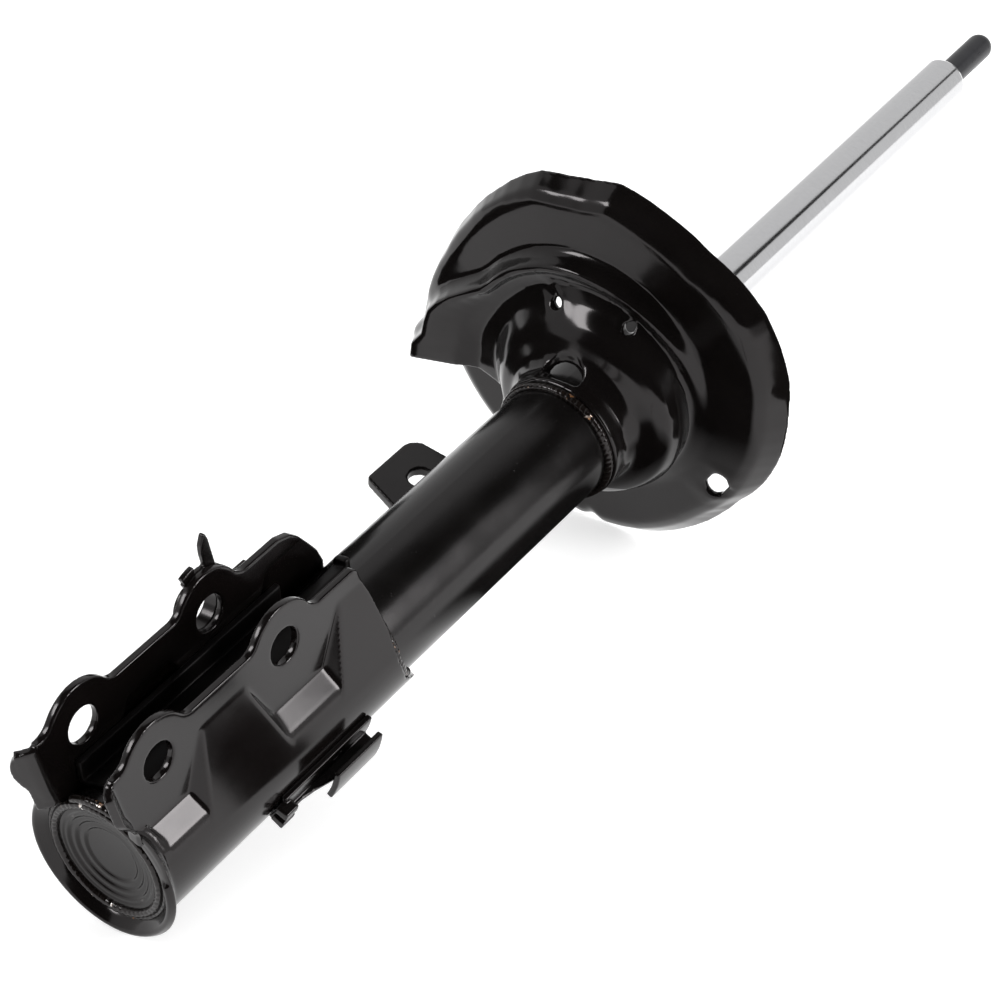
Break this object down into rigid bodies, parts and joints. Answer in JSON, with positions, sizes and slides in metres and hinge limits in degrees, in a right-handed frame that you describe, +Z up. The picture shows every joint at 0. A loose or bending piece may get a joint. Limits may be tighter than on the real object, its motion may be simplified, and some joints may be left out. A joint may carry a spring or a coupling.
{
  "type": "strut assembly",
  "caption": "Twin-tube front strut with a two-ear knuckle bracket, helical spring seat, link tab, hose bracket and extended chrome rod.",
  "frame": {"origin": "on the strut's axis, on the middle of the base cap's outer face", "axes": "+Z up the strut's axis to the rod's end, +X from the tube towards the ears of the knuckle bracket, +Y along the bolt holes to the ear that has the hose bracket beside it"},
  "size_m": [0.1877, 0.1857, 0.6692],
  "materials": {
    "tube_paint": "smooth semi-gloss dark grey paint",
    "bracket_paint": "semi-gloss black paint",
    "seat_paint": "semi-gloss dark grey paint",
    "small_bracket_paint": "semi-gloss dark paint",
    "cap_paint": "semi-gloss dark paint",
    "weld_paint": "painted weld bead",
    "rod_chrome": "hard chrome, polished",
    "cover_black": "smooth black",
    "plain_steel": "bright steel",
    "sintered_steel": "sintered, oil dark",
    "seal_rubber": "nitrile rubber",
    "bush_bronze": "bronze backed bush",
    "band_plastic": "filled slippery plastic",
    "bumper_plastic": "hard plastic"
  },
  "bodies": {
    "housing": {"outer_tube": "tube_paint", "base_cap": "cap_paint", "base_weld": "weld_paint", "knuckle_bracket": "bracket_paint", "closing_plate": "bracket_paint", "bracket_weld": "weld_paint", "spring_seat": "seat_paint", "seat_weld": "weld_paint", "link_bracket": "small_bracket_paint", "link_weld": "weld_paint", "hose_bracket": "small_bracket_paint", "wire_bracket": "small_bracket_paint", "seal_washer": "plain_steel", "rod_seal": "seal_rubber", "rod_guide": "sintered_steel", "guide_bush": "bush_bronze", "pressure_tube": "plain_steel", "base_valve_body": "sintered_steel", "base_valve_discs": "plain_steel", "intake_spring": "plain_steel", "base_valve_pin": "plain_steel"},
    "band": {"piston_band": "band_plastic"},
    "rod": {"piston_rod": "rod_chrome", "stud_cover": "cover_black", "rebound_ring": "plain_steel", "rebound_bumper": "bumper_plastic", "check_stop": "plain_steel", "piston": "sintered_steel", "rebound_discs": "plain_steel", "piston_nut": "plain_steel"},
    "check_plate": {"piston_check_plate": "plain_steel"},
    "intake": {"intake_plate": "plain_steel"}
  },
  "joints": [
    {"name": "rod_slide", "type": "slide", "parent": "housing", "child": "band", "axis": [0, 0, 1], "range_m": [-0.17, 0], "stiffness_N_per_m": 60, "springref_m": 0.6},
    {"name": "rod_spin", "type": "hinge", "parent": "band", "child": "rod", "pos_m": [0, 0, 0.25], "axis": [0, 0, 1], "continuous": true},
    {"name": "check_lift", "type": "slide", "parent": "rod", "child": "check_plate", "axis": [0, 0, 1], "range_m": [0, 0.0009]},
    {"name": "intake_lift", "type": "slide", "parent": "housing", "child": "intake", "axis": [0, 0, 1], "range_m": [0, 0.001], "stiffness_N_per_m": 200, "deforming": ["intake_spring"]}
  ]
}
